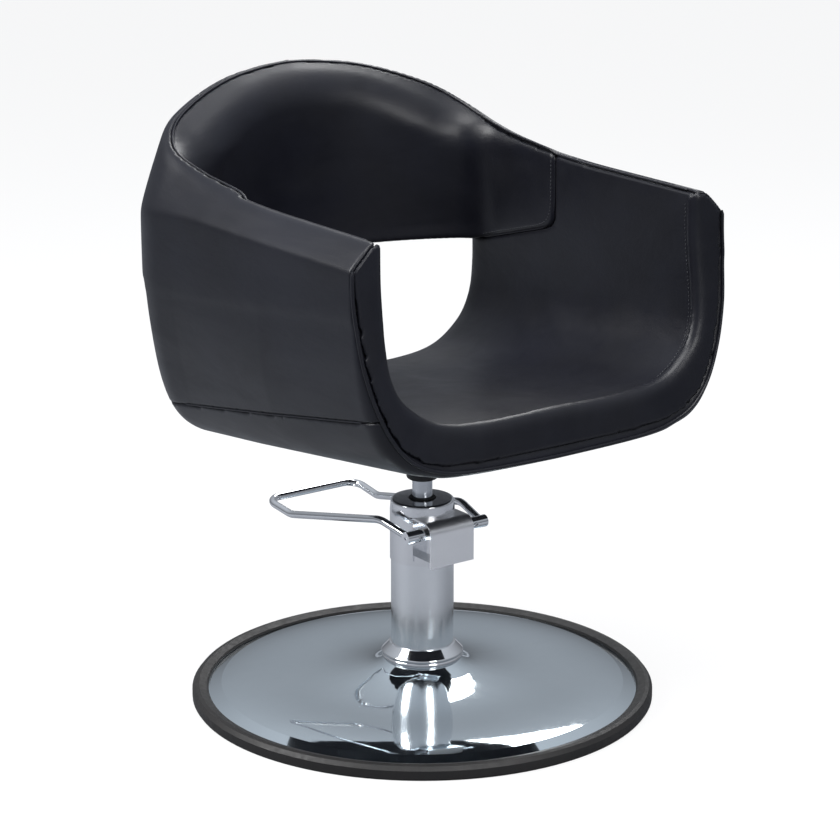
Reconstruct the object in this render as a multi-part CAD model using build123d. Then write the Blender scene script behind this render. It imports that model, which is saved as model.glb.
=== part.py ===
from build123d import *
import math
import os

# Salon styling chair: an upholstered tub on a hydraulic pump and a round base.
# Origin: on the floor, on the column's axis.  +Z up, the sitter faces -Y.  Millimetres.

# ------------------------------------------------------------------ driving dimensions
BASE_RADIUS = 300.0
BASE_SHEET = 2.2
RIM_RING_HEIGHT = 19.0
PLATEAU_RADIUS = 262.0
HUB_RADIUS = 50.0
HUB_HEIGHT = 50.0
BALLAST_RADIUS = 190.0
BALLAST_BOTTOM = 4.0
BALLAST_TOP = 16.0
FLANGE_RADIUS = 80.0
FLANGE_TOP = 26.0
BOLT_CIRCLE = 130.0

TUBE_RADIUS = 40.7
TUBE_WALL = 3.2
HEAD_RADIUS = 41.9
HEAD_BOTTOM = 186.0
CAP_BOTTOM = 251.0
CAP_TOP = 266.0
CYLINDER_OUTER = 24.0
CYLINDER_INNER = 20.0
CYLINDER_TOP = 214.0
RAM_RADIUS = 13.0
RAM_BOTTOM = 46.0
BOOT_BOTTOM = 292.0
BOOT_RADIUS = 20.5
SOCKET_RADIUS = 17.0

AXLE_Y = -50.0
AXLE_Z = 236.0
AXLE_RADIUS = 8.0
AXLE_HALF = 63.0
COVER_HALF = 34.0
COVER_SHEET = 2.0
COVER_BOTTOM = 193.0
HEAD_FLAT_Y = -25.3
LOOP_ROD = 5.0
CAM_REACH = 19.0
CAM_NOSE = 4.0
CAM_ANGLE = 12.0
PLUNGER_RADIUS = 4.2
SLEEVE_RADIUS = 5.9

SEAT_FRONT = -250.0
FRONT_SLANT = 0.15
SLANT_TOP = 620.0
SEAT_HALF = 278.0
SEAT_REAR = 340.0
REAR_CORNER = 80.0
REAR_ARC = 490.0
SEAT_TILT = 6.2
ARM_TOP = 677.0
COVER_LAYER = 14.0
FRAME_LAYER = 10.0
RIM_LAYER = 24.0
BAND_DEPTH = 18.0
REAR_SPLIT = 190.0
PAD_FRONT = 35.0
PAD_HALF = 237.0
PAD_REAR = 260.0
PAD_CORNER = 62.0
PAD_ARC = 420.0
LINING_HALF = 239.0
LINING_SEAT_HALF = 200.0
LINING_SEAT_TOP = 560.0
SILL_Y = 245.0
SILL_TOP = 540.0
PLATE_HALF = 80.0
PLATE_THICK = 6.0

FIT = 0.05
CLEAR = 0.3

tilt = math.radians(SEAT_TILT)
slope = math.tan(tilt)
down_back = Vector(0, math.cos(tilt), -math.sin(tilt))

parts = {}


# ------------------------------------------------------------------ helpers
def rod(radius, low, high, x=0.0, y=0.0):
    """Upright cylinder between two heights."""
    middle = (low + high) / 2
    return Pos(x, y, middle) * Cylinder(radius, high - low)


def ring(outer, inner, low, high, x=0.0, y=0.0):
    """Upright tube between two heights."""
    return rod(outer, low, high, x, y) - rod(inner, low - 1, high + 1, x, y)


def cross_rod(radius, x_low, x_high, y, z):
    """Cylinder along X."""
    middle = (x_low + x_high) / 2
    return Pos(middle, y, z) * Rot(0, 90, 0) * Cylinder(radius, x_high - x_low)


def block(x_low, x_high, y_low, y_high, z_low, z_high):
    """Box between two corners."""
    centre = ((x_low + x_high) / 2, (y_low + y_high) / 2, (z_low + z_high) / 2)
    return Pos(*centre) * Box(x_high - x_low, y_high - y_low, z_high - z_low)


def turned(edges):
    """Solid of revolution about Z from edges drawn in the XZ plane."""
    return revolve(make_face(edges), Axis.Z, 360)


def inset_points(points, distance):
    """Move the points of an outline to its left by a distance."""
    moved = []
    last = len(points) - 1
    for index, point in enumerate(points):
        before = points[max(index - 1, 0)]
        after = points[min(index + 1, last)]
        run = (after[0] - before[0], after[1] - before[1])
        length = math.hypot(*run)
        across = (-run[1] / length, run[0] / length)
        moved.append((point[0] + across[0] * distance, point[1] + across[1] * distance))
    return moved


def mirrored(points):
    """The outline's points from the left side through the middle to the right side."""
    left = [(-x, z) for x, z in reversed(points) if x > 0]
    return left + points


# ------------------------------------------------------------------ base
def base_disc():
    """Spun sheet-steel disc: bevelled edge, shallow cone, flare up to the hub."""
    flare = [(HUB_RADIUS, HUB_HEIGHT), (62, 41), (85, 33.5), (130, 27), (PLATEAU_RADIUS, 19.5)]
    under = [(radius, height - BASE_SHEET) for radius, height in flare]
    under[0] = (HUB_RADIUS, HUB_HEIGHT - 2 * BASE_SHEET)
    edge_top = [(PLATEAU_RADIUS, 19.5), (278, 13.0), (290, 11.5)]
    edge_under = [(290, 9.3), (277, 10.8), (PLATEAU_RADIUS, 19.5 - BASE_SHEET)]
    top = Spline([(r, 0, z) for r, z in flare])
    low = Spline([(r, 0, z) for r, z in reversed(under)])
    rim = Polyline([(r, 0, z) for r, z in edge_top + edge_under])
    hub = Line((under[0][0], 0, under[0][1]), (HUB_RADIUS, 0, HUB_HEIGHT))
    return turned([top, rim, low, hub])


def rim_ring():
    """Rubber ring that grips the disc's edge and stands on the floor."""
    inner = 279.0
    section = [
        (inner, 0),
        (BASE_RADIUS - 2, 0),
        (BASE_RADIUS, 3),
        (BASE_RADIUS, RIM_RING_HEIGHT - 6),
        (BASE_RADIUS - 4, RIM_RING_HEIGHT - 1),
        (BASE_RADIUS - 9, RIM_RING_HEIGHT),
        (inner + 2, RIM_RING_HEIGHT - 3),
        (inner, RIM_RING_HEIGHT - 5),
        (inner, 0),
    ]
    body = turned([Polyline([(r, 0, z) for r, z in section])])
    return body - parts["base_disc"]


def base_collar():
    """Turned collar with two rounded ridges below a cone."""
    bore = TUBE_RADIUS + FIT
    edges = [
        Line((bore, 0, 50.1), (50.5, 0, 50.1)),
        ThreePointArc((50.5, 0, 50.1), (52.9, 0, 53.2), (51.4, 0, 56.6)),
        ThreePointArc((51.4, 0, 56.6), (53.3, 0, 58.4), (52.6, 0, 61.0)),
        Line((52.6, 0, 61.0), (43.0, 0, 71.0)),
        Line((43.0, 0, 71.0), (bore, 0, 71.6)),
        Line((bore, 0, 71.6), (bore, 0, 50.1)),
    ]
    return turned(edges)


def bolt_places():
    """Four bolt centres on the flange's circle."""
    return [
        (math.cos(math.radians(a)) * BOLT_CIRCLE / 2, math.sin(math.radians(a)) * BOLT_CIRCLE / 2)
        for a in (45, 135, 225, 315)
    ]


def build_base():
    parts["base_disc"] = base_disc()
    parts["rim_ring"] = rim_ring()
    parts["base_collar"] = base_collar()
    ballast = rod(BALLAST_RADIUS, BALLAST_BOTTOM, BALLAST_TOP)
    flange = rod(FLANGE_RADIUS, BALLAST_TOP, FLANGE_TOP)
    bolts = []
    for x, y in bolt_places():
        hole = rod(5.3, 0, 40, x, y)
        ballast -= hole
        flange -= hole
        head = Pos(x, y, FLANGE_TOP + 3) * extrude(RegularPolygon(8, 6), 3, both=True)
        bolts.append(head + rod(5.0, BALLAST_BOTTOM + 1, FLANGE_TOP, x, y))
    parts["ballast_plate"] = ballast
    parts["pump_flange"] = flange
    parts["flange_bolts"] = Compound(children=bolts)
    parts["column_tube"] = ring(TUBE_RADIUS, TUBE_RADIUS - TUBE_WALL, FLANGE_TOP, HEAD_BOTTOM)


# ------------------------------------------------------------------ pump
def plunger_y():
    """The plunger stands under the cam's nose."""
    return AXLE_Y + CAM_REACH * math.cos(math.radians(CAM_ANGLE))


def nose_height():
    """Centre of the cam's nose at rest."""
    return AXLE_Z + CAM_REACH * math.sin(math.radians(CAM_ANGLE))


def pump_head():
    """Cast head with a milled front, a floor and two ears for the axle."""
    spigot = TUBE_RADIUS - TUBE_WALL - FIT
    head = rod(HEAD_RADIUS, HEAD_BOTTOM, CAP_BOTTOM) + rod(spigot, HEAD_BOTTOM - 10, HEAD_BOTTOM)
    head -= block(-60, 60, -60, HEAD_FLAT_Y, COVER_BOTTOM, CAP_BOTTOM + 1)
    front = AXLE_Y - 12
    for side in (-1, 1):
        ear = block(16, 22, AXLE_Y, HEAD_FLAT_Y + 1, COVER_BOTTOM, AXLE_Z + 12)
        ear += block(16, 22, front, AXLE_Y, COVER_BOTTOM, AXLE_Z)
        ear += cross_rod(12, 16, 22, AXLE_Y, AXLE_Z)
        head += ear if side > 0 else mirror(ear, Plane.YZ)
    half = COVER_HALF - COVER_SHEET
    head += block(-half, half, front, HEAD_FLAT_Y + 1, COVER_BOTTOM, COVER_BOTTOM + 7)
    head -= rod(CYLINDER_OUTER + FIT, 0, CYLINDER_TOP)
    head -= rod(18.0, 0, 300)
    head -= rod(SLEEVE_RADIUS + FIT, 0, 300, 0, plunger_y())
    head -= cross_rod(10.0, -40, 40, AXLE_Y, AXLE_Z)
    return head


def head_cap():
    """Screwed cap with a rounded shoulder."""
    bore = 18.0
    shoulder = 3.5
    top = HEAD_RADIUS - 0.9
    edges = [
        Line((bore, 0, CAP_BOTTOM), (HEAD_RADIUS, 0, CAP_BOTTOM)),
        Line((HEAD_RADIUS, 0, CAP_BOTTOM), (top, 0, CAP_TOP - shoulder)),
        ThreePointArc(
            (top, 0, CAP_TOP - shoulder),
            (top - 1.0, 0, CAP_TOP - 1.0),
            (top - shoulder, 0, CAP_TOP),
        ),
        Line((top - shoulder, 0, CAP_TOP), (bore, 0, CAP_TOP)),
        Line((bore, 0, CAP_TOP), (bore, 0, CAP_BOTTOM)),
    ]
    return turned(edges)


def pedal_cover():
    """Bent sheet cover: flat front, quarter-round top, running back under the cap."""
    outer = AXLE_Y - (COVER_HALF - 19)
    radius = AXLE_Y - outer
    inner = radius - COVER_SHEET
    back = HEAD_FLAT_Y - 0.1
    turn = math.sqrt(0.5)
    top = AXLE_Z + radius - 0.1
    edges = [
        Line((0, outer, COVER_BOTTOM), (0, outer, AXLE_Z)),
        ThreePointArc(
            (0, outer, AXLE_Z),
            (0, AXLE_Y - radius * turn, AXLE_Z + radius * turn),
            (0, AXLE_Y, top),
        ),
        Line((0, AXLE_Y, top), (0, back, top)),
        Line((0, back, top), (0, back, top - COVER_SHEET)),
        Line((0, back, top - COVER_SHEET), (0, AXLE_Y, top - COVER_SHEET)),
        ThreePointArc(
            (0, AXLE_Y, top - COVER_SHEET),
            (0, AXLE_Y - inner * turn, AXLE_Z + inner * turn),
            (0, outer + COVER_SHEET, AXLE_Z),
        ),
        Line((0, outer + COVER_SHEET, AXLE_Z), (0, outer + COVER_SHEET, COVER_BOTTOM)),
        Line((0, outer + COVER_SHEET, COVER_BOTTOM), (0, outer, COVER_BOTTOM)),
    ]
    return extrude(make_face(edges), COVER_HALF, dir=(1, 0, 0), both=True)


def build_pump():
    parts["pump_head"] = pump_head()
    parts["head_cap"] = head_cap()
    parts["pedal_cover"] = pedal_cover()
    tube_inner = TUBE_RADIUS - TUBE_WALL
    foot_top = 36.0
    foot = rod(tube_inner - FIT, FLANGE_TOP, foot_top)
    balls = []
    for angle in (0, 180):
        x = 29 * math.cos(math.radians(angle))
        foot -= rod(3.2, FLANGE_TOP + 4, foot_top + 1, x, 0)
        balls.append(Pos(x, 0, FLANGE_TOP + 7.2) * Sphere(3.0))
    parts["foot_block"] = foot
    parts["check_balls"] = Compound(children=balls)
    parts["cylinder_tube"] = ring(CYLINDER_OUTER, CYLINDER_INNER, foot_top, CYLINDER_TOP)
    parts["guide_bush"] = ring(18.0, RAM_RADIUS + FIT, CYLINDER_TOP, 257)
    wiper = ring(18.0, RAM_RADIUS + FIT, 257, CAP_TOP)
    wiper += ring(16.0, RAM_RADIUS + FIT, CAP_TOP, CAP_TOP + 2)
    parts["wiper_seal"] = wiper
    sleeve_top = COVER_BOTTOM + 7
    parts["plunger_sleeve"] = ring(SLEEVE_RADIUS, PLUNGER_RADIUS + FIT, 150, sleeve_top, 0, plunger_y())
    bushes = []
    for low, high in ((-22, -16), (16, 22)):
        bush = cross_rod(10.0, low, high, AXLE_Y, AXLE_Z)
        bushes.append(bush - cross_rod(AXLE_RADIUS + FIT, low - 1, high + 1, AXLE_Y, AXLE_Z))
    parts["axle_bushes"] = Compound(children=bushes)


def build_plunger():
    y = plunger_y()
    top = nose_height() - CAM_NOSE - CLEAR
    parts["plunger"] = rod(PLUNGER_RADIUS, 162, top - 4, 0, y) + rod(5.9, top - 4, top, 0, y)
    seat = COVER_BOTTOM + 7.2
    length = top - 4.2 - seat
    wire = 0.6
    mean = 5.2
    path = Pos(0, y, seat + wire) * Helix((length - 2 * wire) / 6, length - 2 * wire, mean)
    start = path @ 0
    section = Plane(origin=start, z_dir=path % 0) * Circle(wire)
    parts["plunger_spring"] = sweep(section, path=path)


def build_lift():
    washer_top = RAM_BOTTOM
    parts["piston"] = ring(CYLINDER_INNER - FIT, 6.0, 38, washer_top - 2) - ring(30, 17.5, 39.5, 42.0)
    parts["piston_seal"] = ring(CYLINDER_INNER - FIT, 17.5, 39.5, 42.0)
    parts["thrust_washer"] = ring(12.5, 6.0, washer_top - 2, washer_top)


# ------------------------------------------------------------------ pedal
def loop_path():
    """Half of the loop's corners, mirrored to the other side."""
    right = [
        (57, AXLE_Y, AXLE_Z),
        (64, 3, 247.5),
        (70, 200, 203.5),
        (72, 256, 210.5),
    ]
    left = [(-x, y, z) for x, y, z in reversed(right)]
    return FilletPolyline(right + left, radius=[40, 40, 20, 20, 40, 40])


def build_pedal():
    path = loop_path()
    section = Plane(origin=path @ 0, z_dir=path % 0) * Circle(LOOP_ROD)
    loop = sweep(section, path=path)
    axle = cross_rod(AXLE_RADIUS, -AXLE_HALF, AXLE_HALF, AXLE_Y, AXLE_Z)
    screws = []
    for side in (-1, 1):
        x = side * 44
        axle -= Pos(x, AXLE_Y - 4.5, AXLE_Z) * Rot(90, 0, 0) * Cylinder(3.0, 9)
        screw = Pos(x, AXLE_Y - 4.6, AXLE_Z) * Rot(90, 0, 0) * Cylinder(2.95, 8.4)
        key = extrude(RegularPolygon(1.6, 6), 1.6, both=True)
        screw -= Pos(x, AXLE_Y - 8.8, AXLE_Z) * Rot(90, 0, 0) * key
        screws.append(screw)
        end = side * AXLE_HALF
        socket = extrude(RegularPolygon(2.6, 6), 2.0, both=True)
        axle -= Pos(end, AXLE_Y, AXLE_Z) * Rot(0, 90, 0) * socket
    parts["pedal_axle"] = axle - loop
    parts["pedal_loop"] = loop
    parts["loop_screws"] = Compound(children=screws)
    hub = cross_rod(12, -11, 11, AXLE_Y, AXLE_Z)
    nose_y = plunger_y()
    arm = cross_rod(CAM_NOSE, -6, 6, nose_y, nose_height())
    web = Pos(0, AXLE_Y, AXLE_Z) * Rot(CAM_ANGLE, 0, 0) * block(-6, 6, 0, CAM_REACH, -2.2, 3.9)
    cam = hub + arm + web
    parts["cam_lever"] = cam - cross_rod(AXLE_RADIUS, -40, 40, AXLE_Y, AXLE_Z)


# ------------------------------------------------------------------ upholstered tub
OUTER_SECTION = [
    (0, 385),
    (120, 390),
    (185, 402),
    (214, 417),
    (232, 441),
    (248, 476),
    (262, 525),
    (273, 585),
    (278, 650),
]
INNER_SECTION = [(0, 441), (110, 441), (173, 451), (213, 477), (232, 507), (239, 550)]
REAR_SECTION = [
    (120, 333),
    (215, 327),
    (275, 345),
    (312, 388),
    (331, 450),
    (340, 560),
    (333, 650),
    (312, 800),
]
RIM_SECTION = [(0, 677), (126, 688), (195, 700), (237, 718), (286, 763), (318, 797)]


def plan_face(half, rear, corner, arc, inset):
    """Plan outline: straight sides, rounded rear corners, a shallow rear arc."""
    half -= inset
    rear -= inset
    corner = max(corner - inset, 8.0)
    arc -= inset
    centre_x = half - corner
    arc_y = rear - arc
    centre_y = arc_y + math.sqrt((arc - corner) ** 2 - centre_x**2)
    turn = math.atan2(centre_y - arc_y, centre_x)
    meet = (arc * math.cos(turn), arc_y + arc * math.sin(turn))
    middle = (centre_x + corner * math.cos(turn / 2), centre_y + corner * math.sin(turn / 2))
    front = -400.0
    edges = [
        Line((-half, front), (half, front)),
        Line((half, front), (half, centre_y)),
        ThreePointArc((half, centre_y), middle, meet),
        ThreePointArc(meet, (0, rear), (-meet[0], meet[1])),
        ThreePointArc((-meet[0], meet[1]), (-middle[0], middle[1]), (-half, centre_y)),
        Line((-half, centre_y), (-half, front)),
    ]
    return make_face(edges)


def channel(points, inset, back=900.0):
    """U section of the seat and arms, run back along the seat's tilt."""
    outline = mirrored(inset_points(points, inset))
    start_y = SEAT_FRONT - 50.0
    lift = 50.0 * slope
    half = outline[-1][0]
    curve = Spline(
        [(x, start_y, z + lift) for x, z in outline],
        tangents=[(0, 0, -1), (0, 0, 1)],
    )
    top = Polyline(
        (half, start_y, outline[-1][1] + lift),
        (half, start_y, 1100),
        (-half, start_y, 1100),
        (-half, start_y, outline[-1][1] + lift),
    )
    return extrude(make_face([curve, top]), back, dir=down_back)


def rear_limit(inset):
    """Everything in front of the rear's rounded side profile."""
    points = inset_points(REAR_SECTION, inset)
    curve = Spline([(0, y, z) for y, z in points])
    last = points[-1]
    first = points[0]
    rest = Polyline(
        (0, last[0], last[1]),
        (0, last[0], 1100),
        (0, -500, 1100),
        (0, -500, 200),
        (0, first[0], first[1]),
    )
    return extrude(make_face([curve, rest]), 400, dir=(1, 0, 0), both=True)


def below_rim(drop):
    """Everything under the rim line, seen from the side."""
    curve = Spline([(0, y, z - drop) for y, z in RIM_SECTION], tangents=[(0, 1, 0), (0, 1, 1)])
    last = RIM_SECTION[-1]
    rest = Polyline(
        (0, last[0], last[1] - drop),
        (0, 500, last[1] - drop),
        (0, 500, 200),
        (0, -500, 200),
        (0, -500, ARM_TOP - drop),
        (0, 0, ARM_TOP - drop),
    )
    return extrude(make_face([curve, rest]), 400, dir=(1, 0, 0), both=True)


def tub_block(inset):
    """Outer form of the tub, moved inwards by an inset, with no front and no top."""
    plan = extrude(plan_face(SEAT_HALF, SEAT_REAR, REAR_CORNER, REAR_ARC, inset), 900)
    return plan & channel(OUTER_SECTION, inset) & rear_limit(inset)


def behind_front(setback):
    """Everything behind the front face: upright at the arms, sloping forward below them."""
    front = SEAT_FRONT + setback
    foot = front - FRONT_SLANT * (SLANT_TOP - 100)
    edge = [(front, 1000), (front, SLANT_TOP), (foot, 100), (500, 100), (500, 1000)]
    outline = Polyline([(0, y, z) for y, z in edge], close=True)
    return extrude(make_face(outline), 400, dir=(1, 0, 0), both=True)


def seat_tilted(solid, height):
    """Tilt a solid drawn about the origin and set it on the column's axis at a height."""
    return Pos(0, 0, height) * Rot(-SEAT_TILT, 0, 0) * solid


def build_tub():
    whole = behind_front(0)
    behind = behind_front(BAND_DEPTH)
    seat_channel = channel(INNER_SECTION, 0)
    pad_edge = [(-500, 594), (50, 580), (195, 540), (500, 540), (500, 0), (-500, 0)]
    pad_outline = Polyline([(0, y, z) for y, z in pad_edge], close=True)
    pad_lower = extrude(make_face(pad_outline), 400, dir=(1, 0, 0), both=True)
    pad_inside = extrude(plan_face(PAD_HALF, PAD_REAR, PAD_CORNER, PAD_ARC, 0), 1000)
    arm_inside = block(-LINING_HALF, LINING_HALF, -400, PAD_FRONT, 0, 1000)
    cavity = (seat_channel & pad_lower) + (seat_channel & pad_inside) + (seat_channel & arm_inside)
    cavity += block(-400, 400, SILL_Y, 500, 0, SILL_TOP)
    total = (tub_block(0) & below_rim(0) & whole) - cavity

    frame_outer = tub_block(COVER_LAYER) & below_rim(RIM_LAYER) & behind
    foam_space = tub_block(COVER_LAYER + FRAME_LAYER)
    rear_gap = channel(INNER_SECTION, -12.0) & pad_lower & block(-400, 400, REAR_SPLIT, 500, 0, 1000)
    frame = (frame_outer - foam_space) - rear_gap
    frame -= block(-400, 400, SILL_Y - COVER_LAYER, 500, 0, SILL_TOP)
    parts["tub_frame"] = frame

    inner = foam_space & below_rim(RIM_LAYER) & behind & total
    above_pad_edge = block(-400, 400, PAD_FRONT, 500, 300, 1000) - pad_lower
    parts["back_pad"] = inner & above_pad_edge
    lining = inner - above_pad_edge
    edge = LINING_SEAT_HALF
    parts["seat_foam"] = lining & block(-edge, edge, -400, 500, 0, LINING_SEAT_TOP)
    parts["arm_foam_left"] = lining & block(edge, 400, -400, 500, 0, 1000)
    parts["arm_foam_right"] = lining & block(-400, -edge, -400, 500, 0, 1000)
    parts["front_band"] = total - behind

    cover = (total & behind) - inner - frame
    side_seam = Polyline((0, -500, 517), (0, 500, 332), (0, 500, 0), (0, -500, 0), close=True)
    below_seam = extrude(make_face(side_seam), 400, dir=(1, 0, 0), both=True)
    bottom = cover & below_seam
    upper = cover - below_seam
    parts["back_cover"] = upper & block(-400, 400, REAR_SPLIT, 500, 0, 1000)
    parts["side_cover_left"] = upper & block(0, 400, -400, REAR_SPLIT, 0, 1000)
    parts["side_cover_right"] = upper & block(-400, 0, -400, REAR_SPLIT, 0, 1000)
    gap = PLATE_HALF + 4
    opening = seat_tilted(block(-gap, gap, -gap, gap, -40, 60), under_height(0))
    parts["bottom_cover"] = bottom - opening


def under_height(y):
    """Height of the tub's underside on the centre line."""
    return OUTER_SECTION[0][1] - (y - SEAT_FRONT) * slope


def build_mounting():
    """Steel plate under the tub's frame, its bolts, the ram and its boot."""
    top = under_height(0) + COVER_LAYER / math.cos(tilt) - 0.2
    plate = seat_tilted(block(-PLATE_HALF, PLATE_HALF, -PLATE_HALF, PLATE_HALF, -PLATE_THICK, 0), top)
    bolts = []
    for x in (-60, 60):
        for y in (-60, 60):
            plate -= seat_tilted(rod(4.2, -PLATE_THICK - 1, 1, x, y), top)
            hexagon = Pos(x, y, -PLATE_THICK - 5) * extrude(RegularPolygon(6.5, 6), 5)
            bolts.append(seat_tilted(hexagon + rod(4.0, -PLATE_THICK - 0.1, -0.3, x, y), top))
    under_plate = seat_tilted(block(-200, 200, -200, 200, -PLATE_THICK, 100), top)
    socket = ring(SOCKET_RADIUS, RAM_RADIUS, BOOT_BOTTOM + 8, top + 10) - under_plate
    ram = rod(RAM_RADIUS, RAM_BOTTOM, top + 10) - under_plate
    boot = ring(BOOT_RADIUS, SOCKET_RADIUS, BOOT_BOTTOM + 8, 345)
    boot += ring(BOOT_RADIUS, RAM_RADIUS, BOOT_BOTTOM, BOOT_BOTTOM + 8)
    rims = boot.edges().filter_by(GeomType.CIRCLE).sort_by(Axis.Z)[0:2]
    lower_edge = rims.sort_by(SortBy.LENGTH)[-1]
    parts["seat_plate"] = plate
    parts["seat_bolts"] = Compound(children=bolts)
    parts["ram_socket"] = socket
    parts["ram_rod"] = ram
    parts["ram_boot"] = fillet(lower_edge, 4.0)


build_base()
build_pump()
build_plunger()
build_lift()
build_pedal()
build_tub()
build_mounting()

os.makedirs("parts", exist_ok=True)
for name, solid in parts.items():
    export_step(solid, f"parts/{name}.step")
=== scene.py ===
import math

import bpy
import numpy as np
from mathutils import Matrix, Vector


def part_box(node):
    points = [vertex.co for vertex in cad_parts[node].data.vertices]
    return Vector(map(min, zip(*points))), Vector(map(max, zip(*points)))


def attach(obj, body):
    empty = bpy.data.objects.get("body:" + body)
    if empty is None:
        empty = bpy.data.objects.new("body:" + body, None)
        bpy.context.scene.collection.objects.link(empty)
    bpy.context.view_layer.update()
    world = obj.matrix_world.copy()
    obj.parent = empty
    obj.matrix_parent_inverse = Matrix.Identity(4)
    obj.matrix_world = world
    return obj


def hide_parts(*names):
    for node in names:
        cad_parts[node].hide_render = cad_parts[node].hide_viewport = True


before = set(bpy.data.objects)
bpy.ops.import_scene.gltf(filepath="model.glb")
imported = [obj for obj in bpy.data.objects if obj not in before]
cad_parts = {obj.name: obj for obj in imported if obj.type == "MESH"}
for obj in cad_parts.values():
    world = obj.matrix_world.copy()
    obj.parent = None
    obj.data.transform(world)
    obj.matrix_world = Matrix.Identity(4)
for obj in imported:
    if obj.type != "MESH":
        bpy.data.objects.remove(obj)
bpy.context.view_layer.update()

# ------------------------------------------------------------------ sizes, in millimetres
M = 1000.0


def node_box(name):
    """A CAD node's box in millimetres."""
    low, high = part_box(name)
    return np.array(low) * M, np.array(high) * M


band_low, band_high = node_box("front_band")
BAND_DEPTH = 18.0
BAND_BACK = band_high[1]
FRONT = BAND_BACK - BAND_DEPTH
HALF = band_high[0]
REAR = node_box("back_cover")[1][1]
PAD_END, PAD_LOW = node_box("back_pad")[0][1:]
SEAT_TILT = 6.2
SLOPE = math.tan(math.radians(SEAT_TILT))
UNDER = band_low[2] - 1.8
APEX = 792.0
SILL = 245.0
SLANT = 0.15
SLANT_TOP = 620.0
SLANT_EASE = 20.0
CREASE_REAR = 592.0
CREASE_RISE = 58.0
RIM_CENTRE_Y = 60.0
SEAM_HEIGHT = 470.0
SEAM_FALL = 0.185
BACK_SEAM_HALF = 150.0
BACK_SEAM_Y = 200.0
PITCH = 3.8


# ------------------------------------------------------------------ plane curves and distance fields
def through(points, steps=12):
    """Smooth curve through points, sampled closely."""
    p = np.array([points[0]] + list(points) + [points[-1]], float)
    out = []
    t = np.linspace(0, 1, steps, endpoint=False)[:, None]
    for a, b, c, d in zip(p[:-3], p[1:-2], p[2:-1], p[3:]):
        m1 = (c - a) / 2
        m2 = (d - b) / 2
        ends = (2 * t**3 - 3 * t**2 + 1) * b + (t**3 - 2 * t**2 + t) * m1
        out.append(ends + (3 * t**2 - 2 * t**3) * c + (t**3 - t**2) * m2)
    return np.vstack(out + [p[-1:]])


class Table:
    """Signed distance from a plane curve, negative on its left, kept on a fine grid."""

    def __init__(self, curve, low, high, pitch=3.0):
        self.low = np.array(low, float)
        self.pitch = pitch
        self.count = np.ceil((np.array(high) - self.low) / pitch).astype(int) + 1
        u = self.low[0] + pitch * np.arange(self.count[0])
        v = self.low[1] + pitch * np.arange(self.count[1])
        grid = np.stack(np.meshgrid(u, v, indexing="ij"), -1).reshape(-1, 2)
        best = np.full(len(grid), 1e9)
        side = np.ones(len(grid))
        for a, b in zip(curve[:-1], curve[1:]):
            run = b - a
            length = max(run @ run, 1e-9)
            away = grid - a
            t = np.clip(away @ run / length, 0, 1)
            gap = away - t[:, None] * run
            distance = np.hypot(gap[:, 0], gap[:, 1])
            nearer = distance < best - 1e-9
            cross = run[0] * away[:, 1] - run[1] * away[:, 0]
            best = np.where(nearer, distance, best)
            side = np.where(nearer, np.where(cross > 0, -1.0, 1.0), side)
        self.values = (best * side).reshape(self.count)

    def __call__(self, u, v):
        s = np.clip((u - self.low[0]) / self.pitch, 0, self.count[0] - 1.001)
        t = np.clip((v - self.low[1]) / self.pitch, 0, self.count[1] - 1.001)
        i = s.astype(int)
        j = t.astype(int)
        s = s - i
        t = t - j
        g = self.values
        near = g[i, j] * (1 - s) + g[i + 1, j] * s
        far = g[i, j + 1] * (1 - s) + g[i + 1, j + 1] * s
        return near * (1 - t) + far * t


def plan_curve(half, rear, corner, arc):
    """Right half of a plan outline, from the front round the corner and past the middle."""
    centre_x = half - corner
    arc_y = rear - arc
    centre_y = arc_y + math.sqrt((arc - corner) ** 2 - centre_x**2)
    turn = math.atan2(centre_y - arc_y, centre_x)
    points = [(half, -460.0), (half, centre_y - 1.0)]
    for a in np.linspace(0, turn, 24):
        points.append((centre_x + corner * math.cos(a), centre_y + corner * math.sin(a)))
    for a in np.linspace(turn, math.pi / 2 + 0.2, 30)[1:]:
        points.append((arc * math.cos(a), arc_y + arc * math.sin(a)))
    return np.array(points)


def smooth_max(a, b, r):
    """Larger of two distances, with the corner between them rounded."""
    h = np.maximum(r - np.abs(a - b), 0.0) / r
    return np.maximum(a, b) + h * h * r * 0.25


def smooth_min(a, b, r):
    return -smooth_max(-a, -b, r)


def eased(table, x):
    """Smoothed lookup in a short list of (place, value)."""
    places, values = np.array(table, float).T
    fine = np.linspace(places[0], places[-1], 240)
    level = np.interp(fine, places, values)
    kernel = np.hanning(25)
    kernel /= kernel.sum()
    padded = np.concatenate([np.full(12, level[0]), level, np.full(12, level[-1])])
    return np.interp(x, fine, np.convolve(padded, kernel, "valid"))


SHELL_EDGE = [
    (-420, -3), (-158, 0), (-88, 9), (-57, 22), (-36, 46), (-22, 82), (-11, 132), (-3, 196),
    (0, 262), (0, 600),
]
BULGE = [(0, 0), (40, 5), (63, 7), (111, 8), (154, 7), (192, 4), (246, 2), (300, 2)]
FRONT_CORNER = [
    (0, 12), (20, 20), (41, 25), (63, 23), (111, 17), (154, 12), (192, 9), (246, 6),
    (300, 6),
]
SEAT_EDGE = [
    (-60, 441), (0, 441), (110, 441), (173, 451), (213, 477), (232, 507), (239, 550),
    (239, 640), (239, 1000),
]
RIM_HEIGHT = [
    (0, 792),
    (8, 790),
    (23, 782),
    (34, 769),
    (46, 748),
    (53, 728),
    (62, 708),
    (75, 695),
    (93, 686),
    (112, 682),
    (180, 681),
]

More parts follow.
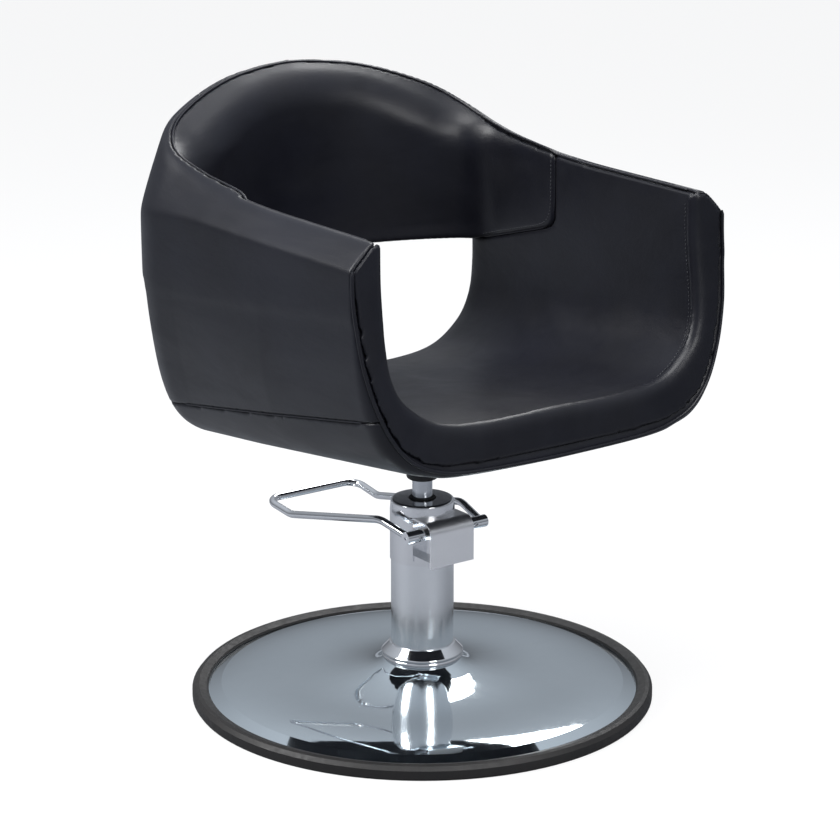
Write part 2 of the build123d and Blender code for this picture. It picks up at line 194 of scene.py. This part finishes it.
shell_table = Table(through(SHELL_EDGE), (-330, -60), (80, 560))
seat_table = Table(through(SEAT_EDGE), (0, 330), (300, 960))
plan_table = Table(plan_curve(HALF, REAR, 116.0, 490.0), (0, -300), (340, 420))
pad_table = Table(plan_curve(HALF - 41.5, 260.0, 62.0, 420.0), (0, -300), (340, 420))


def front_place(z):
    """Where the front face stands at a height: upright above, sloping forward below."""
    drop = SLANT_TOP - z
    return FRONT - SLANT * (drop + np.sqrt(drop * drop + SLANT_EASE**2)) / 2


def layout(p):
    """The distances that every panel is made from, at points p."""
    x = np.abs(p[:, 0])
    y = p[:, 1]
    z = p[:, 2]
    level = z + (y - FRONT) * SLOPE
    front = front_place(z)
    angle = np.degrees(np.arctan2(x, y - RIM_CENTRE_Y))
    side = np.clip(angle / 85.0, 0, 1)
    side = side * side * (3 - 2 * side)
    rim = eased(RIM_HEIGHT, angle)
    crease = CREASE_REAR + CREASE_RISE * side
    rise = (z - crease) / (rim - crease)
    rise = np.minimum((rise + np.sqrt(rise * rise + 0.006)) / 2, 1.2)
    lean = (30 + 2 * side) * rise ** (1.5 - 0.45 * side)
    swell = eased(BULGE, level - UNDER) * np.clip((150 - y) / 200, 0, 1)
    sag = 0.016 * (np.minimum(y, 60.0) - FRONT) * np.clip((x - 60) / 140, 0, 1)
    depth = shell_table(plan_table(x, y) + lean - swell, level - UNDER + sag)
    corner = eased(FRONT_CORNER, level - UNDER)
    outer = smooth_max(depth, front - y, corner / 0.85)
    seat = seat_table(x, level)
    thick = np.clip((z - 560) / 140, 0, 1) * np.exp(-(((angle - 52) / 24) ** 2))
    pad = pad_table(x, y) + 13 * thick
    dip = 0.5 * np.clip((88 - angle) / 30, 0, 1) * np.maximum(-depth - 6, 0)
    edge = np.interp(y, [35, 50, 195], [584, 580, 540]) + (PAD_LOW - 540)
    region = smooth_max(PAD_END - y, edge - z, 16)
    seam = front + 3 + (BAND_BACK - FRONT - 3) * np.clip((-depth - 0.8 * corner + 4) / 26, 0, 1)
    return {
        "px": p[:, 0],
        "x": x,
        "y": y,
        "z": z,
        "outer": outer,
        "seat": seat,
        "pad": pad,
        "rim": (z - rim + dip) / np.where(dip > 0, 1.12, 1.0),
        "region": region,
        "angle": angle,
        "front": front,
        "behind": seam - y,
        "thick": 13 + 15 * np.clip((80 - angle) / 20, 0, 1),
    }


SKIN = 12.0


def tub_inner(f):
    """Cavity side of the arms and seat, closed by the rounded sill at the rear."""
    return smooth_max(-f["seat"], f["y"] - SILL, 55)


def clip_rim(f, d, r=13.0):
    return smooth_max(d, f["rim"], r)


def lining(f):
    inner = tub_inner(f)
    d = smooth_max(f["outer"] + 1.0, inner, 12)
    d = clip_rim(f, d)
    d = smooth_max(d, f["outer"] + SKIN + 0.3, 2)
    d = smooth_max(d, f["behind"] + 0.3, 3)
    return smooth_max(d, -f["region"] + 0.3, 3)


def back_pad(f):
    d = smooth_max(smooth_max(f["outer"], f["rim"], 13), -f["pad"], f["thick"])
    d = smooth_max(d, f["outer"] + SKIN + 0.3, 2)
    return smooth_max(d, f["region"], 6)


def total(f):
    """The whole upholstered form, without its seams."""
    inner = smooth_min(tub_inner(f), f["region"], 10)
    d = smooth_max(f["outer"], inner, 12)
    return clip_rim(f, d)


def shell(f):
    """The outer skin of the wall, from the rim down to the underside."""
    inner = smooth_min(tub_inner(f), f["region"], 10)
    d = clip_rim(f, smooth_max(f["outer"], inner, 12))
    d = smooth_max(d, -f["outer"] - SKIN, 2)
    return smooth_max(d, f["behind"], 3)


def seam_line(f):
    return f["z"] - (SEAM_HEIGHT - (f["y"] - FRONT) * SEAM_FALL)


def rear_line(f):
    """Negative behind the upright seams that part the back cover from the side covers."""
    return np.maximum(f["x"] - BACK_SEAM_HALF, BACK_SEAM_Y - f["y"])


def bottom_cover(f):
    return smooth_max(shell(f), seam_line(f) + 0.3, 2)


def side_cover(f, sign):
    d = smooth_max(shell(f), -seam_line(f) + 0.3, 2)
    d = smooth_max(d, -f["px"] * sign, 2)
    return smooth_max(d, -rear_line(f) + 0.3, 2)


def left_cover(f):
    return side_cover(f, 1)


def right_cover(f):
    return side_cover(f, -1)


def back_cover(f):
    d = smooth_max(shell(f), -seam_line(f) + 0.3, 2)
    return smooth_max(d, rear_line(f) + 0.3, 2)


def front_band(f):
    d = smooth_max(f["outer"], smooth_max(-f["seat"] - 7, f["front"] - f["y"], 22), 9)
    d = smooth_max(d, f["rim"], 13)
    return smooth_max(d, -f["behind"] + 0.3, 3)


# ------------------------------------------------------------------ meshes from fields
class Grid:
    """Sample points over the tub, with its distances worked out once."""

    def __init__(self, pitch):
        low = np.array([-HALF - 8, FRONT - 50, UNDER - 70])
        high = np.array([HALF + 8, REAR + 8, APEX + 8])
        self.pitch = pitch
        self.count = np.ceil((high - low) / pitch).astype(int) + 1
        self.axes = [low[i] + pitch * np.arange(self.count[i]) for i in range(3)]
        points = np.stack(np.meshgrid(*self.axes, indexing="ij"), -1).reshape(-1, 3)
        self.fields = layout(points)


def cut(a, axis, start, stop):
    index = [slice(None)] * a.ndim
    index[axis] = slice(start, stop)
    return a[tuple(index)]


def net(grid, values):
    """Quads that follow the zero level of values on a grid."""
    n = grid.count
    values = values.reshape(n)
    inside = values < 0
    total = np.zeros(tuple(n - 1) + (3,))
    hits = np.zeros(n - 1)
    crossings = []
    for axis in range(3):
        first = cut(values, axis, 0, -1)
        second = cut(values, axis, 1, None)
        cross = cut(inside, axis, 0, -1) != cut(inside, axis, 1, None)
        t = np.where(cross, first / np.where(cross, first - second, 1.0), 0.0)
        crossings.append((cross, cut(inside, axis, 0, -1)))
        u, v = [k for k in range(3) if k != axis]
        base = [grid.axes[k].reshape([-1 if k == m else 1 for m in range(3)]) for k in range(3)]
        for du in (0, 1):
            for dv in (0, 1):
                part = cut(cut(cross, u, du, n[u] - 1 + du), v, dv, n[v] - 1 + dv)
                along = cut(cut(t, u, du, n[u] - 1 + du), v, dv, n[v] - 1 + dv)
                for k in range(3):
                    if k == axis:
                        place = cut(base[k], k, 0, n[k] - 1) + along * grid.pitch
                    else:
                        shift = du if k == u else dv
                        place = cut(base[k], k, shift, n[k] - 1 + shift)
                    total[..., k] += part * place
                hits += part
    used = hits > 0
    index = np.full(n - 1, -1)
    index[used] = np.arange(used.sum())
    points = total[used] / hits[used][:, None]
    quads = []
    for axis in range(3):
        cross, within = crossings[axis]
        u, v = [k for k in range(3) if k != axis]
        inner = [slice(None)] * 3
        inner[u] = slice(1, n[u] - 1)
        inner[v] = slice(1, n[v] - 1)
        where = np.argwhere(cross[tuple(inner)])
        outward = within[tuple(inner)][tuple(where.T)]
        corners = []
        for du, dv in ((0, 0), (1, 0), (1, 1), (0, 1)):
            cell = where.copy()
            cell[:, u] += du
            cell[:, v] += dv
            corners.append(index[tuple(cell.T)])
        face = np.stack(corners, 1)
        flip = outward == (axis == 1)
        face[flip] = face[flip][:, ::-1]
        quads.append(face)
    return points, np.vstack(quads)


def slope_of(form, p):
    """Value and gradient of a form at points p."""
    step = 0.6
    grad = np.zeros_like(p)
    for k in range(3):
        shift = np.zeros(3)
        shift[k] = step
        grad[:, k] = (form(layout(p + shift)) - form(layout(p - shift))) / (2 * step)
    return form(layout(p)), grad


def settle(form, p, rounds=3):
    """Draw points onto the zero level of a form."""
    for _ in range(rounds):
        value, grad = slope_of(form, p)
        size = np.maximum((grad**2).sum(1), 0.2)
        move = -value[:, None] * grad / size[:, None]
        length = np.linalg.norm(move, axis=1, keepdims=True)
        p = p + move * np.minimum(1.0, 3.0 / np.maximum(length, 1e-9))
    return p


def relax(p, quads, amount=0.5):
    """Even out the spacing of a mesh's points."""
    total = np.zeros_like(p)
    count = np.zeros(len(p))
    for a, b in ((0, 1), (1, 2), (2, 3), (3, 0)):
        np.add.at(total, quads[:, a], p[quads[:, b]])
        np.add.at(total, quads[:, b], p[quads[:, a]])
        np.add.at(count, quads[:, a], 1)
        np.add.at(count, quads[:, b], 1)
    return p + amount * (total / np.maximum(count, 1)[:, None] - p)


def mesh_object(name, points, faces, smooth=True):
    mesh = bpy.data.meshes.new(name)
    mesh.from_pydata((np.asarray(points) / M).tolist(), [], np.asarray(faces).tolist())
    mesh.update()
    if smooth:
        mesh.shade_smooth()
    piece = bpy.data.objects.new(name, mesh)
    bpy.context.scene.collection.objects.link(piece)
    return piece


def panel(name, form, grid):
    """A closed upholstery panel cut from the tub's form."""
    points, quads = net(grid, form(grid.fields))
    points = settle(form, points, 2)
    points = settle(form, relax(points, quads), 1)
    points = settle(form, relax(points, quads), 2)
    return mesh_object(name, points, quads)


# ------------------------------------------------------------------ materials
def new_material(name):
    material = bpy.data.materials.new(name)
    material.use_nodes = True
    tree = material.node_tree
    shader = tree.nodes["Principled BSDF"]
    return material, tree, shader


def node(tree, kind, **inputs):
    made = tree.nodes.new("ShaderNode" + kind)
    for key, value in inputs.items():
        made.inputs[key.replace("_", " ")].default_value = value
    return made


def noise(tree, where, scale, detail=4.0, rough=0.55, distortion=0.0):
    made = node(tree, "TexNoise", Scale=scale, Detail=detail, Roughness=rough, Distortion=distortion)
    tree.links.new(where, made.inputs["Vector"])
    return made.outputs["Fac"]


def ramp(tree, value, low, high, out_low=0.0, out_high=1.0):
    made = node(tree, "MapRange")
    made.inputs["From Min"].default_value = low
    made.inputs["From Max"].default_value = high
    made.inputs["To Min"].default_value = out_low
    made.inputs["To Max"].default_value = out_high
    tree.links.new(value, made.inputs["Value"])
    return made.outputs["Result"]


def blend_colour(tree, factor, low, high):
    made = tree.nodes.new("ShaderNodeMix")
    made.data_type = "RGBA"
    made.inputs[6].default_value = (*low, 1)
    made.inputs[7].default_value = (*high, 1)
    tree.links.new(factor, made.inputs[0])
    return made.outputs[2]


def bump(tree, height, strength, distance, under=None):
    made = node(tree, "Bump", Strength=strength, Distance=distance)
    tree.links.new(height, made.inputs["Height"])
    if under is not None:
        tree.links.new(under, made.inputs["Normal"])
    return made.outputs["Normal"]


def object_space(tree, stretch=(1, 1, 1)):
    coordinates = tree.nodes.new("ShaderNodeTexCoord")
    mapping = node(tree, "Mapping")
    mapping.inputs["Scale"].default_value = stretch
    tree.links.new(coordinates.outputs["Object"], mapping.inputs["Vector"])
    return mapping.outputs["Vector"]


def leather(name, stretch, seed):
    """Black, faintly blue upholstery leather with fine grain and soft creases."""
    material, tree, shader = new_material(name)
    plain = object_space(tree)
    drawn = object_space(tree, stretch)
    mottle = noise(tree, plain, 5.0 + seed, 5.0, 0.6)
    cloud = noise(tree, drawn, 16.0, 6.0, 0.65, 0.4)
    colour = blend_colour(
        tree, ramp(tree, mottle, 0.35, 0.68), (0.0022, 0.0024, 0.0050),
        (0.0052, 0.0057, 0.0102),
    )
    tree.links.new(colour, shader.inputs["Base Color"])
    tree.links.new(ramp(tree, cloud, 0.3, 0.7, 0.32, 0.46), shader.inputs["Roughness"])
    pores = node(tree, "TexVoronoi", Scale=620.0)
    pores.feature = "DISTANCE_TO_EDGE"
    tree.links.new(plain, pores.inputs["Vector"])
    grain = ramp(tree, pores.outputs["Distance"], 0.0, 0.22)
    soft = bump(tree, cloud, 0.20, 0.004)
    folds = bump(tree, noise(tree, drawn, 42.0, 3.0, 0.5, 1.2), 0.10, 0.0016, soft)
    fine = bump(tree, grain, 0.16, 0.00022, folds)
    tree.links.new(fine, shader.inputs["Normal"])
    shader.inputs["Specular IOR Level"].default_value = 0.30
    shader.inputs["Coat Weight"].default_value = 0.06
    shader.inputs["Coat Roughness"].default_value = 0.24
    shader.inputs["Sheen Weight"].default_value = 0.02
    shader.inputs["Sheen Roughness"].default_value = 0.5
    return material


def metal(
    name, colour, dark, rough_low, rough_high, scale=40.0, stretch=(1, 1, 1), relief=0.02, depth=0.0002
):
    """Metal whose colour, roughness and surface vary a little."""
    material, tree, shader = new_material(name)
    where = object_space(tree, stretch)
    wide = noise(tree, where, scale, 5.0, 0.6)
    small = noise(tree, where, scale * 9, 3.0, 0.6)
    tree.links.new(
        blend_colour(tree, ramp(tree, wide, 0.3, 0.7), dark, colour),
        shader.inputs["Base Color"],
    )
    tree.links.new(ramp(tree, small, 0.35, 0.7, rough_low, rough_high), shader.inputs["Roughness"])
    tree.links.new(bump(tree, wide, relief, depth), shader.inputs["Normal"])
    shader.inputs["Metallic"].default_value = 1.0
    return material


def matte(name, colour, light, rough_low, rough_high, scale=120.0, relief=0.25, depth=0.0004):
    """Rubber, foam, wood or plastic: a dull surface with a fine broken texture."""
    material, tree, shader = new_material(name)
    where = object_space(tree)
    wide = noise(tree, where, scale * 0.15, 4.0, 0.6)
    small = noise(tree, where, scale, 5.0, 0.65)
    tree.links.new(
        blend_colour(tree, ramp(tree, wide, 0.3, 0.7), colour, light),
        shader.inputs["Base Color"],
    )
    tree.links.new(ramp(tree, small, 0.3, 0.7, rough_low, rough_high), shader.inputs["Roughness"])
    tree.links.new(bump(tree, small, relief, depth), shader.inputs["Normal"])
    return material


def dress(material, *names):
    """Give CAD nodes a material."""
    for name in names:
        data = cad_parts[name].data
        for index in range(len(data.materials)):
            data.materials[index] = material
        if not data.materials:
            data.materials.append(material)


# The base disc's colour is partly its own chrome and partly painted reflection: its blue lean stands in
# for pale blue-grey surroundings reflected in it.
chrome_base = metal(
    "chrome_base", (0.74, 0.81, 0.85), (0.70, 0.77, 0.81), 0.035, 0.075, 9.0, relief=0.03,
    depth=0.0006,
)
chrome_tube = metal(
    "chrome_tube", (0.84, 0.86, 0.88), (0.78, 0.80, 0.82), 0.16, 0.24, 18.0, (1, 1, 0.2), 0.03,
    0.0003,
)
chrome_head = metal("chrome_head", (0.80, 0.81, 0.83), (0.72, 0.73, 0.75), 0.10, 0.18, 22.0)
chrome_cover = metal(
    "chrome_cover", (0.97, 0.97, 0.98), (0.93, 0.93, 0.95), 0.30, 0.38, 14.0, relief=0.05,
    depth=0.0008,
)
chrome_bright = metal("chrome_bright", (0.84, 0.85, 0.87), (0.78, 0.79, 0.81), 0.04, 0.09, 30.0)
steel = metal("plain_steel", (0.48, 0.48, 0.49), (0.36, 0.36, 0.37), 0.28, 0.42, 60.0)
zinc = metal("zinc_steel", (0.62, 0.63, 0.64), (0.50, 0.51, 0.53), 0.25, 0.38, 80.0)
ram_steel = metal("ram_steel", (0.55, 0.57, 0.60), (0.48, 0.50, 0.53), 0.16, 0.26, 60.0, (1, 1, 0.1))
bronze = metal("bronze", (0.55, 0.33, 0.14), (0.42, 0.24, 0.10), 0.22, 0.36, 70.0)
iron = metal(
    "cast_iron", (0.10, 0.10, 0.105), (0.06, 0.06, 0.065), 0.5, 0.7, 90.0, relief=0.4,
    depth=0.001,
)
rim_rubber = matte("rim_rubber", (0.0045, 0.0038, 0.0036), (0.009, 0.0075, 0.007), 0.46, 0.64)
seal_rubber = matte("seal_rubber", (0.012, 0.012, 0.012), (0.02, 0.02, 0.02), 0.5, 0.7)
boot_rubber = matte("boot_rubber", (0.0045, 0.0045, 0.005), (0.010, 0.010, 0.011), 0.45, 0.62, 200.0)
plate_steel = matte("plate_paint", (0.015, 0.015, 0.016), (0.024, 0.024, 0.026), 0.4, 0.55, 160.0)

dress(chrome_base, "base_disc")
dress(chrome_bright, "base_collar", "pedal_loop", "pedal_axle")
dress(chrome_tube, "column_tube")
dress(chrome_head, "pump_head", "head_cap")
dress(chrome_cover, "pedal_cover")
dress(
    steel, "pump_flange", "foot_block", "cylinder_tube", "plunger_sleeve", "plunger", "piston",
    "cam_lever", "plunger_spring",
)
dress(zinc, "flange_bolts", "check_balls", "loop_screws", "seat_bolts")
dress(ram_steel, "ram_rod")
dress(bronze, "guide_bush", "axle_bushes", "thrust_washer")
dress(iron, "ballast_plate")
dress(rim_rubber, "rim_ring")
dress(seal_rubber, "wiper_seal", "piston_seal")
dress(boot_rubber, "ram_boot")
dress(plate_steel, "seat_plate", "ram_socket")

side_leather = leather("leather_sides", (1.0, 0.35, 1.0), 0.0)
inner_leather = leather("leather_inside", (1.0, 0.7, 1.0), 1.3)
pad_leather = leather("leather_pad", (0.4, 0.6, 1.0), 2.1)
band_leather = leather("leather_band", (1.0, 1.0, 0.6), 0.7)

# ------------------------------------------------------------------ upholstery
grid = Grid(PITCH)
PANELS = [
    (
        "inner_lining", lining, inner_leather, "inner_vinyl",
        ("seat_foam", "arm_foam_left", "arm_foam_right"), 0.7,
    ),
    ("backrest_pad", back_pad, pad_leather, "pad_vinyl", ("back_pad", "tub_frame"), 0.8),
    ("band_strip", front_band, band_leather, "band_vinyl", ("front_band",), 0.9),
    ("outer_back", back_cover, side_leather, "outer_vinyl", ("back_cover",), 0.9),
    ("outer_left", left_cover, side_leather, "outer_vinyl", ("side_cover_left",), 0.9),
    ("outer_right", right_cover, side_leather, "outer_vinyl", ("side_cover_right",), 0.9),
    ("outer_bottom", bottom_cover, side_leather, "outer_vinyl", ("bottom_cover",), 0.9),
]
pieces = {}
for name, form, material, slot, covers, fill in PANELS:
    piece = panel(name, form, grid)
    piece.data.materials.append(material)
    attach(piece, "seat")
    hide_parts(*covers)
    pieces[name] = piece

# ------------------------------------------------------------------ seams, piping and stitches
def resample(points, gap):
    """Points spaced evenly along a line."""
    p = np.asarray(points, float)
    run = np.linalg.norm(np.diff(p, axis=0), axis=1)
    place = np.concatenate([[0], np.cumsum(run)])
    wanted = np.linspace(0, place[-1], max(int(place[-1] / gap), 2))
    return np.stack([np.interp(wanted, place, p[:, k]) for k in range(3)], 1)


def meet(points, first, second, rounds=7):
    """Draw points onto the line where two forms cross."""
    p = np.asarray(points, float)
    for _ in range(rounds):
        p = settle(first, p, 1)
        p = settle(second, p, 1)
    settled = (np.abs(first(layout(p))) < 1.0) & (np.abs(second(layout(p))) < 1.0)
    p = resample(p[settled], 6.0)
    for _ in range(8):
        p[1:-1] = 0.25 * p[:-2] + 0.5 * p[1:-1] + 0.25 * p[2:]
    return settle(second, resample(p, 5.0), 2)


def tube_mesh(line, radii, sides=8):
    """Points and quads of a round bar along a line."""
    line = np.asarray(line, float)
    run = np.gradient(line, axis=0)
    run /= np.linalg.norm(run, axis=1, keepdims=True)
    across = np.cross(run[0], [0.3, 0.5, 0.8])
    across /= np.linalg.norm(across)
    points = []
    for spot, along, radius in zip(line, run, radii):
        across = across - along * (across @ along)
        across /= np.linalg.norm(across)
        other = np.cross(along, across)
        for k in range(sides):
            a = 2 * math.pi * k / sides
            points.append(spot + radius * (math.cos(a) * across + math.sin(a) * other))
    faces = []
    for i in range(len(line) - 1):
        for k in range(sides):
            n = (k + 1) % sides
            faces.append((i * sides + k, i * sides + n, (i + 1) * sides + n, (i + 1) * sides + k))
    return points, faces


def add_tubes(name, lines, radius, material, taper=False, sides=8):
    """One piece made of several round bars."""
    points = []
    faces = []
    for line in lines:
        radii = np.full(len(line), radius)
        radii[[0, -1]] = radius * (0.35 if taper else 0.6)
        p, q = tube_mesh(line, radii, sides)
        start = len(points)
        points += p
        faces += [tuple(start + v for v in face) for face in q]
    piece = mesh_object(name, points, faces)
    piece.data.materials.append(material)
    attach(piece, "seat")
    return piece


def stitches(line, form, length=3.4, gap=5.0, rise=0.35):
    """Short thread dashes lying on a surface along a line."""
    line = resample(line, 1.0)
    _, grad = slope_of(form, line)
    up = grad / np.maximum(np.linalg.norm(grad, axis=1, keepdims=True), 1e-6)
    run = np.gradient(line, axis=0)
    run /= np.maximum(np.linalg.norm(run, axis=1, keepdims=True), 1e-6)
    dashes = []
    step = max(int(gap), 1)
    for i in range(3, len(line) - 3, step):
        t = np.linspace(-0.5, 0.5, 4)[:, None] * length
        arch = np.array([-0.2, rise, rise, -0.2])[:, None]
        dashes.append(line[i] + t * run[i] + arch * up[i])
    return dashes


def thread_material():
    return matte("thread", (0.020, 0.021, 0.026), (0.040, 0.042, 0.050), 0.45, 0.6, 900.0)


def mirror_line(line):
    return line * np.array([-1, 1, 1])


def outer_form(f):
    return f["outer"]


def inner_face(f):
    return -f["seat"]


def pad_face(f):
    return -f["pad"]


def band_seam(f):
    return f["behind"]


def rim_offset(f):
    return f["outer"] + SKIN


def rounded_outside(f):
    return smooth_max(f["outer"], f["rim"], 13)


def pad_boundary(f):
    return f["region"]


def rim_seam():
    right = plan_curve(HALF - 24, REAR - 27, 92.0, 476.0)
    keep = right[(right[:, 1] > FRONT + 26) & (right[:, 0] >= 0)]
    start = np.array([[HALF - 24, FRONT + 26]])
    plan = np.vstack([start, keep])
    angle = np.degrees(np.arctan2(plan[:, 0], plan[:, 1] - RIM_CENTRE_Y))
    half = np.column_stack([plan, eased(RIM_HEIGHT, angle)])
    line = resample(np.vstack([half, mirror_line(half)[::-1]]), 6.0)
    return meet(line, rim_offset, total)


def front_outer_seam():
    half = [(0, 386), (120, 390), (185, 402), (214, 417), (232, 441), (248, 476)]
    half += [(262, 525), (273, 585), (277, 650)]
    half = np.array([(x, front_place(z) + 4, z) for x, z in half])
    line = resample(np.vstack([mirror_line(half)[::-1][:-1], half]), 6.0)
    return meet(line, band_seam, rounded_outside)


def front_inner_seam():
    half = [(0, 439), (110, 439), (173, 449), (213, 475), (232, 505), (239, 550), (239, 600), (239, 664)]
    half = np.array([(x, front_place(z) + BAND_DEPTH, z) for x, z in half])
    line = resample(np.vstack([mirror_line(half)[::-1][:-1], half]), 6.0)
    return meet(line, band_seam, inner_face)


def pad_seam(sign):
    route = [(238, 36, 668), (238, 36, 620), (238, 38, 596)]
    route += [(238, 52, 581), (238, 120, 560), (238, 185, 543)]
    line = resample(np.array(route, float) * np.array([sign, 1, 1]), 6.0)
    return meet(line, pad_boundary, inner_face)


def side_seam(sign):
    places = np.arange(FRONT + 6, 176, 6.0)
    line = np.array([(sign * 266, y, SEAM_HEIGHT - (y - FRONT) * SEAM_FALL) for y in places])
    return meet(line, seam_line, outer_form)


def shifted(line, offset, form):
    """A line moved sideways and laid back on the surface."""
    return settle(form, line + np.array(offset, float), 3)


thread = thread_material()
front_line = front_outer_seam()
inner_line = front_inner_seam()
pad_lines = [pad_seam(1), pad_seam(-1)]
add_tubes("rim_piping", [rim_seam()], 1.5, band_leather)
add_tubes("front_welt", [front_line], 2.2, band_leather)
add_tubes("inner_seam_cord", [inner_line], 1.2, band_leather)
add_tubes("pad_edge_cord", pad_lines, 1.2, pad_leather)
add_tubes("side_seam_cord", [side_seam(1), side_seam(-1)], 0.9, side_leather)
rows = stitches(shifted(inner_line, (0, 4.5, 0), inner_face), inner_face)
rows += stitches(shifted(inner_line, (0, 9.0, 0), inner_face), inner_face)
add_tubes("inner_topstitching", rows, 0.5, thread, taper=True, sides=6)
rows = []
for line in pad_lines:
    rows += stitches(shifted(line, (0, 5.0, 4.0), pad_face), pad_face)
add_tubes("pad_stitching", rows, 0.45, thread, taper=True, sides=6)

# ------------------------------------------------------------------ stage, light and camera
AZIMUTH = math.radians(36.0)
TOWARD = Vector((-math.sin(AZIMUTH), -math.cos(AZIMUTH), 0))
RIGHT = Vector((math.cos(AZIMUTH), -math.sin(AZIMUTH), 0))


def floor():
    points = [(-9000, -9000, -0.4), (9000, -9000, -0.4), (9000, 9000, -0.4), (-9000, 9000, -0.4)]
    piece = mesh_object("studio_floor", points, [(0, 1, 2, 3)], smooth=False)
    material, tree, shader = new_material("studio_floor")
    where = object_space(tree)
    tint = blend_colour(tree, noise(tree, where, 3.0), (0.90, 0.90, 0.905), (0.93, 0.93, 0.935))
    glow = tree.nodes.new("ShaderNodeEmission")
    glow.inputs["Color"].default_value = (1.0, 1.0, 1.0, 1)
    path = tree.nodes.new("ShaderNodeLightPath")
    share = ramp(tree, path.outputs["Is Camera Ray"], 0.0, 1.0, 0.0, 0.85)
    calm = seen_and_reflected(tree, (0.92, 0.92, 0.93), (0.22, 0.23, 0.25))
    tinted = tree.nodes.new("ShaderNodeMix")
    tinted.data_type = "RGBA"
    tinted.blend_type = "MULTIPLY"
    tinted.inputs[0].default_value = 1.0
    tree.links.new(tint, tinted.inputs[6])
    tree.links.new(calm, tinted.inputs[7])
    tree.links.new(tinted.outputs[2], shader.inputs["Base Color"])
    shader.inputs["Roughness"].default_value = 0.9
    blend = tree.nodes.new("ShaderNodeMixShader")
    tree.links.new(share, blend.inputs[0])
    tree.links.new(shader.outputs[0], blend.inputs[1])
    tree.links.new(glow.outputs[0], blend.inputs[2])
    tree.links.new(blend.outputs[0], tree.nodes["Material Output"].inputs["Surface"])
    piece.data.materials.append(material)


def area_light(name, place, target, size, power, colour=(1, 1, 1)):
    data = bpy.data.lights.new(name, "AREA")
    data.shape = "RECTANGLE"
    data.size, data.size_y = size
    data.energy = power
    data.color = colour
    light = bpy.data.objects.new(name, data)
    light.location = place
    light.rotation_euler = (Vector(target) - Vector(place)).to_track_quat("-Z", "Y").to_euler()
    bpy.context.scene.collection.objects.link(light)


def seen_and_reflected(tree, seen, reflected):
    """Colour for the studio's own surfaces: one to look at, a calmer one for lighting."""
    path = tree.nodes.new("ShaderNodeLightPath")
    return blend_colour(tree, path.outputs["Is Camera Ray"], reflected, seen)


def studio():
    world = bpy.data.worlds.new("studio")
    world.use_nodes = True
    tree = world.node_tree
    sky = tree.nodes["Background"]
    coordinates = tree.nodes.new("ShaderNodeTexCoord")
    split = tree.nodes.new("ShaderNodeSeparateXYZ")
    tree.links.new(coordinates.outputs["Generated"], split.inputs["Vector"])
    height = ramp(tree, split.outputs["Z"], -0.1, 0.9)
    soft = blend_colour(tree, height, (0.10, 0.105, 0.115), (0.62, 0.66, 0.72))
    path = tree.nodes.new("ShaderNodeLightPath")
    mix = tree.nodes.new("ShaderNodeMix")
    mix.data_type = "RGBA"
    tree.links.new(path.outputs["Is Camera Ray"], mix.inputs[0])
    tree.links.new(soft, mix.inputs[6])
    mix.inputs[7].default_value = (1.0, 1.0, 1.0, 1)
    tree.links.new(mix.outputs[2], sky.inputs["Color"])
    sky.inputs["Strength"].default_value = 1.0
    bpy.context.scene.world = world
    focus = (0, 0, 0.5)
    key = TOWARD * 0.6 - RIGHT * 2.3 + Vector((0, 0, 2.3))
    fill = TOWARD * 2.4 + RIGHT * 1.6 + Vector((0, 0, 2.2))
    area_light("key", key, focus, (1.2, 1.6), 95)
    area_light("fill", fill, focus, (1.0, 1.6), 45)
    area_light("top", (-0.3, -0.5, 3.0), focus, (1.6, 1.6), 70)
    area_light("rear", (1.6, 1.4, 2.4), focus, (1.0, 1.4), 30)


def photo_camera():
    data = bpy.data.cameras.new("camera")
    data.sensor_width = 36.0
    data.lens = 36.0 * 3000.0 / 840.0
    camera = bpy.data.objects.new("camera", data)
    pitch = math.radians(16.316)
    place = TOWARD * 3.66975 - RIGHT * 0.003
    place.z = 1.44355
    forward = -TOWARD * math.cos(pitch) - Vector((0, 0, math.sin(pitch)))
    camera.location = place
    camera.rotation_euler = forward.to_track_quat("-Z", "Y").to_euler()
    bpy.context.scene.collection.objects.link(camera)
    bpy.context.scene.camera = camera


floor()
studio()
photo_camera()
bpy.context.scene.view_settings.view_transform = "Standard"
